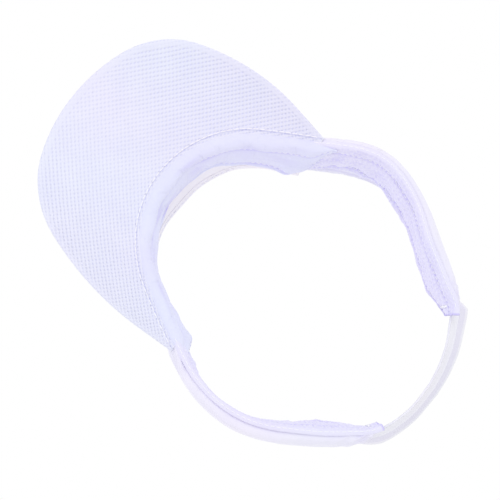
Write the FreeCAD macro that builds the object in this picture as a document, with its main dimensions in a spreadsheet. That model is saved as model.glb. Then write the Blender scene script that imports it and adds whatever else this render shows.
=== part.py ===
"""Sun visor: a curved brim, a padded front panel and side bands, a sweatband and a rear elastic.

The pieces are drawn in the band's own frame: XY is the plane of the band's lower edge, +Z goes up
through the head opening, and the brim points along -Y. The whole visor is then leaned back as it
stands on a table, on the two sides of its brim and on the rear ends of its band. The origin is the
middle of the visor's footprint, at the height of the table.
"""

import FreeCAD, Part
import math
import os
import Sketcher

Vector = FreeCAD.Vector

SIZES = [
    # the band's lower edge in plan, as tangent arcs from the front centre to the rear
    ("front_reach", 58.0), ("front_radius", 63.0), ("front_turn", 57.5),
    ("temple_radius", 408.0), ("temple_turn", 7.0),
    ("ear_radius", 70.5), ("ear_turn", 55.5),
    ("nape_radius", 171.0), ("nape_turn", 16.5),
    ("bend_radius", 30.0), ("bend_turn", 14.0),
    # the brim's outer edge in plan, as tangent arcs from the tip to the brim's corner
    ("brim_reach", 120.0), ("tip_radius", 97.0), ("tip_turn", 20.5),
    ("shoulder_radius", 53.0), ("shoulder_turn", 48.0),
    ("flank_radius", 151.0), ("flank_turn", 17.0),
    ("corner_radius", 100.0), ("corner_turn", 12.0), ("corner_run", 27.0),
    # the brim's arch and slope, and its layers' faces above the middle of the board
    ("arch_radius", 126.0), ("brim_slope", 21.5), ("arch_length", 300.0),
    ("mesh_bottom", -1.9), ("mesh_top", -0.9), ("board_bottom", -0.8), ("board_top", 0.8),
    ("cover_bottom", 0.9), ("cover_top", 1.7),
    ("board_inset", 2.6), ("cover_inset", 1.4), ("rim_inset", 1.3), ("brim_clearance", 0.4),
    ("edge_stitch_inset", 3.0), ("seam_stitch_offset", 1.4),
    # how far each layer's faces lie inside the band's outline
    ("shell_inner", 1.2), ("foam_outer", 1.3), ("foam_inner", 3.7),
    ("interlining_inner", 2.9), ("lining_outer", 3.0), ("lining_inner", 3.7),
    ("side_lining_outer", 3.8), ("side_lining_inner", 5.0),
    ("padding_outer", 3.8), ("padding_inner", 5.8),
    ("sweatband_outer", 5.9), ("sweatband_inner", 7.2),
    # the walls' inward lean at the front, at the band's end and at the middle of the elastic,
    # and the lean of the side linings, which are sewn at the foot only
    ("wall_lean", 12.0), ("end_lean", -10.0), ("elastic_lean", -24.0), ("lining_lean", 15.0),
    ("wall_height", 50.0),
    # heights above the band's lower edge at the front, the panel seam and the band's end
    ("front_height", 45.0), ("seam_height", 38.8), ("end_height", 26.0),
    ("binding_height", 2.0), ("layer_gap", 0.1), ("hem", 2.5), ("panel_gap", 0.15),
    ("lining_drop", 4.0),
    ("sweatband_front", 30.0), ("sweatband_seam", 27.0), ("spare", 8.0),
    # stations along the side bands, and how many of them the pocket and the tongue take up
    ("ear_stations", 14), ("nape_stations", 12), ("pocket_stations", 3), ("tongue_stations", 2),
    # stitching: the thread's thickness and clearance, and where the rows run
    ("thread", 0.5), ("thread_clearance", 0.05), ("lower_row", 5.0), ("upper_row", 16.0),
    ("top_row_drop", 6.0), ("side_row", 3.0), ("tack_low", 5.0), ("tack_top", 20.0),
    # the rear elastic's strip
    ("elastic_width", 20.0), ("elastic_thickness", 1.8), ("elastic_foot", 4.0),
    ("elastic_inset", 2.5),
    # how far the visor leans back on the table
    ("rest_tilt", 8.0),
]

doc = FreeCAD.newDocument("SunVisor")
sheet = doc.addObject("Spreadsheet::Sheet", "Sizes")
for row, (alias, value) in enumerate(SIZES, start=1):
    sheet.set(f"A{row}", alias)
    sheet.set(f"B{row}", str(value))
    sheet.setAlias(f"B{row}", alias)
doc.recompute()

SIDES = {"left": 1, "right": -1}      # as worn: the wearer's left is +X
SUBPARTS = []


def size(alias):
    """The number in the sheet under this alias."""
    return float(sheet.get(alias))


def reading(words):
    """Value and FreeCAD expression of a sum of aliases and numbers, such as 'band_end - hem'."""
    value, text, sign = 0.0, "0", 1
    for word in words.split():
        if word in ("+", "-"):
            sign = 1 if word == "+" else -1
            continue
        is_number = word.replace(".", "").isdigit()
        value += sign * (float(word) if is_number else size(word))
        text += (" + " if sign > 0 else " - ") + (word if is_number else f"Sizes.{word}")
        sign = 1
    return value, text


def bind(item, prop, words):
    """Ties a property to the sheet."""
    item.setExpression(prop, reading(words)[1])


# ------------------------------------------------------------------ outlines in plan

def arc_chain(start, arcs):
    """Edges of tangent arcs that set off along +X and turn left, their end and its heading."""
    here, heading, edges = start, 0.0, []
    for radius, turn in arcs:
        centre = here + Vector(-math.sin(heading), math.cos(heading), 0) * radius
        stops = [Vector(math.sin(a), -math.cos(a), 0) * radius + centre
                 for a in (heading + turn / 2, heading + turn)]
        edges.append(Part.Arc(here, *stops).toShape())
        here, heading = stops[1], heading + turn
    return edges, here, heading


def named_arcs(names):
    return [(size(f"{name}_radius"), math.radians(size(f"{name}_turn"))) for name in names]


def closed_outline(name, edges):
    """A symmetric closed outline from the edges of its +X half."""
    mirrored = [edge.mirror(Vector(0, 0, 0), Vector(1, 0, 0)) for edge in edges]
    outline = doc.addObject("Part::Feature", name)
    outline.Shape = Part.Wire(Part.__sortEdges__(edges + mirrored))
    return outline


def band_arcs():
    """The arcs of half the band and elastic; the last one ends on the centre line."""
    arcs = named_arcs(["front", "temple", "ear", "nape", "bend"])
    _, here, heading = arc_chain(Vector(0, 0, 0), arcs)
    return arcs + [(here.x / math.sin(heading), math.pi - heading)]


def band_outline():
    """The outer face of the band and of the elastic at the lower edge."""
    edges, _, _ = arc_chain(Vector(0, -size("front_reach"), 0), band_arcs())
    return closed_outline("band_outline", edges)


def brim_outline():
    """The brim's outer edge; its corners run on a little way behind the band's outer face."""
    arcs = named_arcs(["tip", "shoulder", "flank", "corner"])
    edges, here, heading = arc_chain(Vector(0, -size("brim_reach"), 0), arcs)
    end = here + Vector(math.cos(heading), math.sin(heading), 0) * size("corner_run")
    edges.append(Part.makeLine(here, end))
    edges.append(Part.makeLine(end, Vector(0, end.y, 0)))
    return closed_outline("brim_outline", edges)


# ------------------------------------------------------------------ building blocks

prisms = {}


def prism(outline, inset, lean):
    """A solid above and below an inset copy of an outline; leaning walls start at its plane."""
    key = f"{outline.Name} {inset} {lean}"
    if key in prisms:
        return prisms[key]
    base = outline
    if inset != "0":
        base = doc.addObject("Part::Offset2D", "inset")
        base.Source = outline
        base.setExpression("Value", f"-({reading(inset)[1]})")
    body = doc.addObject("Part::Extrusion", "prism")
    body.Base = base
    body.DirMode = "Custom"
    body.Dir = Vector(0, 0, 1)
    body.Solid = True
    bind(body, "LengthFwd", "wall_height")
    if lean:
        body.setExpression("TaperAngle", "-Sizes.wall_lean")
    else:
        bind(body, "LengthRev", "wall_height")
    prisms[key] = body
    return body


def between(kind, name, base, tool):
    """A boolean of two shapes: Part::Cut, Part::Common or Part::Fuse."""
    result = doc.addObject(kind, name)
    result.Base = base
    result.Tool = tool
    return result


def wall(outer, inner):
    """The leaning ring between two insets of the band's outline."""
    return between("Part::Cut", "wall", prism(band, outer, True), prism(band, inner, True))


def side_zone(corners, side=0):
    """A prism across the visor from its side view; side keeps only one half of it."""
    sketch = doc.addObject("Sketcher::SketchObject", "side_view")
    sketch.Placement = FreeCAD.Placement(
        Vector(0, 0, 0), FreeCAD.Rotation(Vector(0, 1, 0), Vector(0, 0, 1), Vector(1, 0, 0)))
    points = [Vector(reading(y)[0], reading(z)[0], 0) for y, z in corners]
    for index, point in enumerate(points):
        after = points[(index + 1) % len(points)]
        sketch.addGeometry(Part.LineSegment(point, after), False)
    for index, (y, z) in enumerate(corners):
        before = (index - 1) % len(corners)
        sketch.addConstraint(Sketcher.Constraint("Coincident", before, 2, index, 1))
        for kind, words in (("DistanceX", y), ("DistanceY", z)):
            value, text = reading(words)
            number = sketch.addConstraint(Sketcher.Constraint(kind, -1, 1, index, 1, value))
            sketch.setExpression(f"Constraints[{number}]", text)
    zone = doc.addObject("Part::Extrusion", "side_zone")
    zone.Base = sketch
    zone.DirMode = "Custom"
    zone.Dir = Vector(side if side else 1, 0, 0)
    zone.Solid = True
    zone.Symmetric = side == 0
    zone.setExpression("LengthFwd", "4 * Sizes.ear_radius")
    return zone


def keep(name, shape_object):
    """Names a finished sub-part."""
    shape_object.Label = name
    SUBPARTS.append(shape_object)
    return shape_object


def layer(name, outer, inner, corners, side=0):
    """One layer of the band: a leaning wall, cut to its side view."""
    return keep(name, between("Part::Common", name, wall(outer, inner), side_zone(corners, side)))


def stitch_row(name, outer, inner, line, side=0):
    """A row of stitches as one thin raised strip along a wall, a thread high above the line."""
    above = [(y, f"{z} + thread") for y, z in reversed(line)]
    return layer(name, outer, inner, line + above, side)


# ------------------------------------------------------------------ sections along the band

TEMPLE, EAR, NAPE, BEND, REAR = range(1, 6)      # indices of the outline's arcs after the front


def point_on(arc, share):
    """A point a share of the way along one of the outline's arcs, and the heading there."""
    arcs = band_arcs()
    radius, turn = arcs[arc]
    start = Vector(0, -size("front_reach"), 0)
    _, here, heading = arc_chain(start, arcs[:arc] + [(radius, turn * share)])
    return here, heading


def stations(arc, count):
    """Evenly spaced stations that end with the arc's own end."""
    return [station(arc, step / count) for step in range(1, count + 1)]


def station(arc, share):
    """A point of the outline, the outward direction there, and how far the wall leans in.
    The lean changes evenly from the panel seam to the band's end and on to the middle rear."""
    here, heading = point_on(arc, share)
    band_end, rear = point_on(NAPE, 1)[0].y, point_on(REAR, 1)[0].y
    seam_lean, end_lean, rear_lean = size("wall_lean"), size("end_lean"), size("elastic_lean")
    if here.y <= band_end:
        lean = seam_lean + (end_lean - seam_lean) * max(here.y, 0) / band_end
    else:
        lean = end_lean + (rear_lean - end_lean) * (here.y - band_end) / (rear - band_end)
    return here, Vector(math.sin(heading), -math.cos(heading), 0), math.radians(lean)


def section(where, faces, heights, side=1):
    """The four-sided section of a leaning wall between two insets and two heights."""
    here, outward, lean = where
    corners = []
    for inset, height in ((faces[0], heights[0]), (faces[1], heights[0]),
                          (faces[1], heights[1]), (faces[0], heights[1])):
        point = here - outward * (inset + height * math.tan(lean)) + Vector(0, 0, height)
        corners.append(Vector(side * point.x, point.y, point.z))
    return Part.makePolygon(corners + corners[:1])


def top_line(y):
    """Height of the side band's top edge, straight in the side view."""
    fall = size("seam_height") - size("end_height")
    return size("seam_height") - fall * y / point_on(NAPE, 1)[0].y


def swept(name, faces, foot, drop, side, short=0, length=0, own_lean=None):
    """A layer of one side band: straight-ruled through sections of its leaning wall and cut at
    the seam. It ends some stations short of the band's end, and a length counts its stations
    back from there. Without a drop below the top line it is a stitch row one thread high."""
    places = [station(TEMPLE, 0.4), station(TEMPLE, 1)]
    places += stations(EAR, int(size("ear_stations"))) + stations(NAPE, int(size("nape_stations")))
    places = places[:len(places) - short]
    places = places[-length:]
    if own_lean:
        places = [(here, outward, math.radians(size(own_lean))) for here, outward, _ in places]
    insets = [reading(face)[0] for face in faces]
    low = reading(foot)[0]
    wires = []
    for where in places:
        high = low + size("thread") if drop is None else top_line(where[0].y) - reading(drop)[0]
        wires.append(section(where, insets, (low, high), side))
    strip = doc.addObject("Part::Feature", f"{name}_loft")
    strip.Shape = Part.makeLoft(wires, True, True)
    return keep(name, between("Part::Common", name, strip, behind_seam))


# ------------------------------------------------------------------ brim

def arch(bottom, top):
    """The curved sheet between two heights above the brim's middle surface."""
    slope = math.radians(size("brim_slope"))
    along = Vector(0, -math.cos(slope), -math.sin(slope))
    up = Vector(0, -math.sin(slope), math.cos(slope))
    seam = Vector(0, -size("front_reach"), 0)
    foot = seam - up * size("arch_radius") - along * (size("arch_length") / 2)
    solids = []
    for height in (top, bottom):
        solid = doc.addObject("Part::Cylinder", "arch")
        bind(solid, "Radius", f"arch_radius + {height}")
        bind(solid, "Height", "arch_length")
        solid.Placement = FreeCAD.Placement(foot, FreeCAD.Rotation(Vector(0, 0, 1), along))
        solids.append(solid)
    return between("Part::Cut", "arched_sheet", *solids)


def brim_layer(name, inset, bottom, top, inner_inset=None):
    """A sheet of the brim inside an inset of its outline and clear of the band."""
    area = between("Part::Cut", "brim_area", prism(brim, inset, False), band_clearance)
    if inner_inset:
        area = between("Part::Cut", "brim_rim_area", area, prism(brim, inner_inset, False))
    return between("Part::Common", name, area, arch(bottom, top))


band = band_outline()
brim = brim_outline()
band_clearance = prism(band, "0 - brim_clearance", False)
behind_seam = doc.addObject("Part::Box", "behind_seam")
for side_prop in ("Length", "Width", "Height"):
    behind_seam.setExpression(side_prop, "4 * Sizes.wall_height")
behind_seam.setExpression("Placement.Base.x", "-2 * Sizes.wall_height")
behind_seam.setExpression("Placement.Base.y", "Sizes.panel_gap")
behind_seam.setExpression("Placement.Base.z", "-Sizes.wall_height")


def make_brim():
    """The stiff board in its covers; the underside mesh also wraps round the outer edge."""
    keep("brim_board", brim_layer("brim_board", "board_inset", "board_bottom", "board_top"))
    keep("brim_top_cover", brim_layer("brim_top_cover", "cover_inset", "cover_bottom", "cover_top"))
    under = brim_layer("mesh_sheet", "0", "mesh_bottom", "mesh_top")
    rim = brim_layer("mesh_rim", "0", "mesh_bottom", "cover_top", "rim_inset")
    keep("brim_underside_mesh", between("Part::Fuse", "brim_underside_mesh", under, rim))


def make_brim_stitching():
    """A row on top, along the outer edge, and the row below that joins brim and band."""
    edge = brim_layer("edge_row", "edge_stitch_inset", "cover_top + thread_clearance",
                      "cover_top + thread_clearance + thread", "edge_stitch_inset + thread")
    keep("brim_edge_stitching", edge)
    outer = prism(band, "0 - seam_stitch_offset - thread", False)
    inner = prism(band, "0 - seam_stitch_offset", False)
    strip = between("Part::Cut", "seam_strip", outer, inner)
    within = between("Part::Common", "seam_within", strip, prism(brim, "board_inset", False))
    sheet_below = arch("mesh_bottom - thread_clearance - thread", "mesh_bottom - thread_clearance")
    keep("brim_seam_stitching", between("Part::Common", "seam_row", within, sheet_below))


# ------------------------------------------------------------------ front panel

FRONT = "0 - front_reach - spare"


def front_view(foot, drop):
    """Side view of a front layer: from a foot height up to a drop below the top edge."""
    return [(FRONT, foot), ("0 - panel_gap", foot), ("0 - panel_gap", f"seam_height - {drop}"),
            ("0 - front_reach", f"front_height - {drop}"), (FRONT, f"front_height - {drop}")]


def make_front():
    """Shell, interlining and lining, with a binding strip folded along their top edge."""
    layer("front_panel_shell", "0", "shell_inner", front_view("0", "binding_height"))
    layer("front_interlining", "foam_outer", "interlining_inner", front_view("hem", "hem"))
    layer("front_lining", "lining_outer", "lining_inner", front_view("hem", "hem"))
    line = [("0 - panel_gap", "seam_height - binding_height + layer_gap"),
            ("0 - front_reach", "front_height - binding_height + layer_gap"),
            (FRONT, "front_height - binding_height + layer_gap"), (FRONT, "front_height"),
            ("0 - front_reach", "front_height"), ("0 - panel_gap", "seam_height")]
    layer("top_edge_binding", "0", "lining_inner", line)
    row = [(FRONT, "front_height - top_row_drop"),
           ("0 - front_reach", "front_height - top_row_drop"),
           ("0 - panel_gap", "seam_height - top_row_drop")]
    stitch_row("top_edge_stitching", "0 - thread_clearance - thread", "0 - thread_clearance", row)


# ------------------------------------------------------------------ side bands

def make_side(name, side):
    """Shell and foam of one side band, the terry lining that leans in from its foot, the
    stitching and the panel seam."""
    outside = ("0 - thread_clearance - thread", "0 - thread_clearance")
    inside = ("side_lining_inner + thread_clearance", "side_lining_inner + thread_clearance + thread")
    pocket, tongue = int(size("pocket_stations")), int(size("tongue_stations"))
    swept(f"{name}_side_shell", ("0", "shell_inner"), "0", "0", side)
    swept(f"{name}_side_foam", ("foam_outer", "foam_inner"), "hem", "hem", side, pocket)
    swept(f"{name}_side_lining", ("side_lining_outer", "side_lining_inner"), "0", "lining_drop",
          side, own_lean="lining_lean")
    swept(f"{name}_side_stitching", outside, "side_row", None, side, tongue + 1)
    swept(f"{name}_lining_stitching", inside, "side_row", None, side, 1, own_lean="lining_lean")
    swept(f"{name}_bar_tack", outside, "tack_low", "end_height - tack_top", side, tongue - 1, 2)
    layer(f"{name}_panel_seam", *outside,
          [("0 - thread", "hem"), ("0 - panel_gap", "hem"),
           ("0 - panel_gap", "seam_height - top_row_drop - hem"),
           ("0 - thread", "seam_height - top_row_drop - hem")], side)


# ------------------------------------------------------------------ sweatband

def make_sweatband():
    """Front sweatband: folded cloth over a strip of padding, with two rows of stitches."""
    def view(foot, drop, end):
        return [(FRONT, foot), (end, foot), (end, f"sweatband_seam - {drop}"),
                ("0 - front_reach", f"sweatband_front - {drop}"),
                (FRONT, f"sweatband_front - {drop}")]

    layer("front_sweatband", "sweatband_outer", "sweatband_inner", view("0", "0", "0 - panel_gap"))
    layer("front_sweatband_padding", "padding_outer", "padding_inner", view("hem", "hem", "0 - hem"))
    inside = ("sweatband_inner + thread_clearance", "sweatband_inner + thread_clearance + thread")
    for name, height in (("lower", "lower_row"), ("upper", "upper_row")):
        stitch_row(f"front_sweatband_{name}_stitching", *inside,
                   [(FRONT, height), ("0 - hem", height)])


# ------------------------------------------------------------------ rear elastic

def make_elastic():
    """A knitted strip from one pocket to the other, leaning out in the middle of the back,
    where nothing holds its upper edge."""
    middle, half = size("elastic_inset"), size("elastic_thickness") / 2
    faces = (middle - half, middle + half)
    heights = (size("elastic_foot"), size("elastic_foot") + size("elastic_width"))
    in_pocket = stations(NAPE, int(size("nape_stations")))[-1 - int(size("tongue_stations")):]
    places = in_pocket + stations(BEND, 2) + stations(REAR, 8)
    wires = [section(where, faces, heights, SIDES["left"]) for where in places]
    wires += [section(where, faces, heights, SIDES["right"]) for where in reversed(places[:-1])]
    strip = doc.addObject("Part::Feature", "elastic_strap")
    strip.Shape = Part.makeLoft(wires, True, True)
    keep("elastic_strap", strip)


# ------------------------------------------------------------------ assembly and export

def stand_on_table():
    """Leans the visor back and puts the origin under the middle of it, at the table's height."""
    tilt = FreeCAD.Rotation(Vector(1, 0, 0), -size("rest_tilt"))
    whole = Part.makeCompound([item.Shape for item in SUBPARTS])
    whole.Placement = FreeCAD.Placement(Vector(0, 0, 0), tilt)
    box = whole.optimalBoundingBox(False, False)
    shift = Vector(-(box.XMin + box.XMax) / 2, -(box.YMin + box.YMax) / 2, -box.ZMin)
    for item in SUBPARTS:
        item.Placement = FreeCAD.Placement(shift, tilt)
    print(f"visor frame: lean back {size('rest_tilt')} degrees, shift {shift}")


def check():
    """Stops if any object failed or any sub-part isn't one or more whole solids."""
    for item in doc.Objects:
        if "Invalid" in item.State or "Error" in item.State:
            raise RuntimeError(f"{item.Name} failed: {item.State}")
    for item in SUBPARTS:
        shape = item.Shape
        if shape.isNull() or not shape.isValid() or not shape.Solids:
            raise RuntimeError(f"{item.Label} has no valid solid")
        print(f"{item.Label:28s} {len(shape.Solids)} solid(s) {shape.Volume / 1000:8.3f} cm3")


def export():
    os.makedirs("parts", exist_ok=True)
    for item in SUBPARTS:
        item.Shape.exportStep(os.path.join("parts", f"{item.Label}.step"))


make_brim()
make_brim_stitching()
make_front()
for side_name, side_sign in SIDES.items():
    make_side(side_name, side_sign)
make_sweatband()
make_elastic()
doc.recompute()
stand_on_table()
doc.recompute()
check()
export()
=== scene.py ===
"""Sun visor: the visible pieces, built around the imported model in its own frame, in metres.

The band's frame is the one that the pieces are drawn in: XY is the plane of the band's lower edge,
+Z goes up through the head opening and the brim points along -Y. stand() leans it back and lifts
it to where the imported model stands.
"""

import math

import bmesh
import bpy
import numpy as np
from mathutils import Matrix, Vector


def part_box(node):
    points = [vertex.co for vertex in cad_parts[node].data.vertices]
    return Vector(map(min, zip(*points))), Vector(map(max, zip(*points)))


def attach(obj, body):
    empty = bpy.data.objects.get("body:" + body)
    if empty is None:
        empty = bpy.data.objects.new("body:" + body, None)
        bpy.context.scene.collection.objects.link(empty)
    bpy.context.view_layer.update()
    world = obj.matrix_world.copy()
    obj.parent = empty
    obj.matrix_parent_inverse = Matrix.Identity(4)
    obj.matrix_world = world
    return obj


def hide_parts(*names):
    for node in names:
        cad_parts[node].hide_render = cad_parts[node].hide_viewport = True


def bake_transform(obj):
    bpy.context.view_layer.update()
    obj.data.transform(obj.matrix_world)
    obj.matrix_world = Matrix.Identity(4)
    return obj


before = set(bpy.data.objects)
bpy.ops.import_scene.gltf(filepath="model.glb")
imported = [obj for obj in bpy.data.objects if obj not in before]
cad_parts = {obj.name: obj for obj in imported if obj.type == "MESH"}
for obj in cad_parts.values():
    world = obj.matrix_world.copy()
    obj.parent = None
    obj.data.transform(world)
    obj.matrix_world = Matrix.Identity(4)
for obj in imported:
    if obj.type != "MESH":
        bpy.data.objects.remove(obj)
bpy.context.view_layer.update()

MM = 0.001
REST_TILT = math.radians(8)
LEFT, RIGHT = 1, -1                 # the wearer's sides: left is +X

# ------------------------------------------------------------------ the band's line in plan


def turned(radius_mm, degrees):
    return radius_mm * MM, math.radians(degrees)


FRONT_REACH = 58 * MM
ARCS = [turned(63, 57.5), turned(408, 7), turned(70.5, 55.5), turned(171, 16.5), turned(30, 14)]


def walk(start, arcs):
    """Starts, headings, radii and lengths of tangent arcs that set off along +X and turn left."""
    x, y, heading, run = start[0], start[1], 0.0, 0.0
    steps = []
    for radius, turn in arcs:
        steps.append((run, x, y, heading, radius))
        x += radius * (math.sin(heading + turn) - math.sin(heading))
        y += radius * (math.cos(heading) - math.cos(heading + turn))
        run += radius * turn
        heading += turn
    return steps, (run, x, y, heading)


_, (_, end_x, _, end_heading) = walk((0, -FRONT_REACH), ARCS)
ARCS.append((end_x / math.sin(end_heading), math.pi - end_heading))
BAND, (BAND_LENGTH, _, _, _) = walk((0, -FRONT_REACH), ARCS)
END_RUN = BAND[4][0]                # where the side bands end and the elastic goes on
END_Y = BAND[4][2]


def along(steps, run):
    """Points and headings at these distances along an arc chain; distances are an array."""
    run = np.asarray(run, float)
    starts = np.array([s[0] for s in steps])
    which = np.clip(np.searchsorted(starts, run, side="right") - 1, 0, len(steps) - 1)
    table = np.array(steps)[which]
    turn = (run - table[..., 0]) / table[..., 4]
    heading = table[..., 3] + turn
    x = table[..., 1] + table[..., 4] * (np.sin(heading) - np.sin(table[..., 3]))
    y = table[..., 2] + table[..., 4] * (np.cos(table[..., 3]) - np.cos(heading))
    return np.stack([x, y], -1), heading


def band_at(run):
    """Points of the band's line and outward directions; negative distances are on the right."""
    run = np.asarray(run, float)
    side = np.where(run < 0, -1.0, 1.0)
    points, heading = along(BAND, np.abs(run))
    outward = np.stack([np.sin(heading), -np.cos(heading)], -1)
    points[..., 0] *= side
    outward[..., 0] *= side
    return points, outward


def run_where(y):
    """Distance along the band's line where it reaches this y."""
    runs = np.linspace(0, BAND_LENGTH, 4000)
    return float(np.interp(y, along(BAND, runs)[0][:, 1], runs))


SEAM_RUN = run_where(0)

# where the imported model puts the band's frame
shell_low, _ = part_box("front_panel_shell")
side_low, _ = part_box("left_side_shell")
SHIFT = Vector((0, shell_low.y + FRONT_REACH * math.cos(REST_TILT),
                side_low.z + END_Y * math.sin(REST_TILT)))


def stand(points):
    """From the band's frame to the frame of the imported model."""
    points = np.asarray(points, float)
    c, s = math.cos(REST_TILT), math.sin(REST_TILT)
    x, y, z = points[..., 0], points[..., 1], points[..., 2]
    return np.stack([x + SHIFT.x, c * y + s * z + SHIFT.y, -s * y + c * z + SHIFT.z], -1)


def place(run, out, up):
    """Points at an outward offset and a height from the band's line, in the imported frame."""
    run, out, up = np.broadcast_arrays(run, out, up)
    points, outward = band_at(run)
    flat = points + outward * out[..., None]
    return stand(np.concatenate([flat, up[..., None]], -1))


# ------------------------------------------------------------------ stage, camera and lights


def look(azimuth, elevation, roll, target, distance, lens):
    """A camera that looks at the target; azimuth 0 looks along +Y."""
    azimuth, elevation, roll = (math.radians(a) for a in (azimuth, elevation, roll))
    back = Vector((math.cos(elevation) * math.sin(azimuth),
                   -math.cos(elevation) * math.cos(azimuth), math.sin(elevation)))
    side = (-back).cross(Vector((0, 0, 1))).normalized()
    top = side.cross(-back)
    right = math.cos(roll) * side + math.sin(roll) * top
    up = -math.sin(roll) * side + math.cos(roll) * top
    data = bpy.data.cameras.new("camera")
    data.lens = lens
    data.sensor_width = 36
    camera = bpy.data.objects.new("camera", data)
    place_at = Vector(target) + back * distance
    camera.matrix_world = Matrix.Translation(place_at) @ Matrix(
        (right, up, back)).transposed().to_4x4()
    bpy.context.scene.collection.objects.link(camera)
    bpy.context.scene.camera = camera


def soft_light(name, place_at, target, width, power, colour=(1, 1, 1)):
    data = bpy.data.lights.new(name, "AREA")
    data.shape = "DISK"
    data.size = width
    data.energy = power
    data.color = colour
    light = bpy.data.objects.new(name, data)
    light.location = place_at
    light.rotation_euler = (Vector(target) - Vector(place_at)).to_track_quat("-Z", "Y").to_euler()
    bpy.context.scene.collection.objects.link(light)


SKY_DIM = 0.88          # the surroundings are dimmer below the object than above it


def new_material(name):
    """A node material, with its nodes, its links and its shader."""
    material = bpy.data.materials.new(name)
    material.use_nodes = True
    nodes = material.node_tree.nodes
    return material, nodes, material.node_tree.links, nodes["Principled BSDF"]


def make_stage():
    """White surroundings, three soft lights and a pale floor that is seen only from above."""
    scene = bpy.context.scene
    scene.view_settings.view_transform = "Standard"
    world = bpy.data.worlds.new("studio")
    scene.world = world
    world.use_nodes = True
    sky_nodes, sky_links = world.node_tree.nodes, world.node_tree.links
    direction = sky_nodes.new("ShaderNodeTexCoord")
    toward = sky_nodes.new("ShaderNodeVectorMath")
    toward.operation = "DOT_PRODUCT"
    toward.inputs[1].default_value = (0.50, 0.30, 0.81)
    sky_links.new(direction.outputs["Generated"], toward.inputs[0])
    fade = sky_nodes.new("ShaderNodeMapRange")
    for end, value in (("From Min", -1.0), ("From Max", 0.7), ("To Min", SKY_DIM), ("To Max", 1.0)):
        fade.inputs[end].default_value = value
    sky_links.new(toward.outputs["Value"], fade.inputs["Value"])
    surroundings = sky_nodes["Background"]
    surroundings.inputs["Color"].default_value = (1, 1, 1, 1)
    sky_links.new(fade.outputs["Result"], surroundings.inputs["Strength"])
    centre = (0, 0, 0.03)
    soft_light("key", (0.55, -0.35, -0.75), centre, 0.5, 1.3)
    soft_light("fill", (-0.70, -0.30, -0.60), centre, 0.6, 1.0)
    soft_light("high", (-0.6, -0.7, 1.1), centre, 0.7, 1.5)
    bpy.ops.mesh.primitive_plane_add(size=6, location=(0, 0, 0))
    floor = bpy.context.object
    floor.name = "floor"
    material, nodes, links, paint = new_material("floor_paint")
    paint.inputs["Base Color"].default_value = (0.82, 0.82, 0.83, 1)
    paint.inputs["Roughness"].default_value = 0.7
    clear = nodes.new("ShaderNodeBsdfTransparent")
    sides = nodes.new("ShaderNodeNewGeometry")
    mix = nodes.new("ShaderNodeMixShader")
    links.new(sides.outputs["Backfacing"], mix.inputs["Fac"])
    links.new(paint.outputs["BSDF"], mix.inputs[1])
    links.new(clear.outputs["BSDF"], mix.inputs[2])
    links.new(mix.outputs["Shader"], nodes["Material Output"].inputs["Surface"])
    floor.data.materials.append(material)
    for ray in ("visible_diffuse", "visible_glossy", "visible_shadow", "visible_transmission"):
        setattr(floor, ray, False)


# ------------------------------------------------------------------ materials


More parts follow.
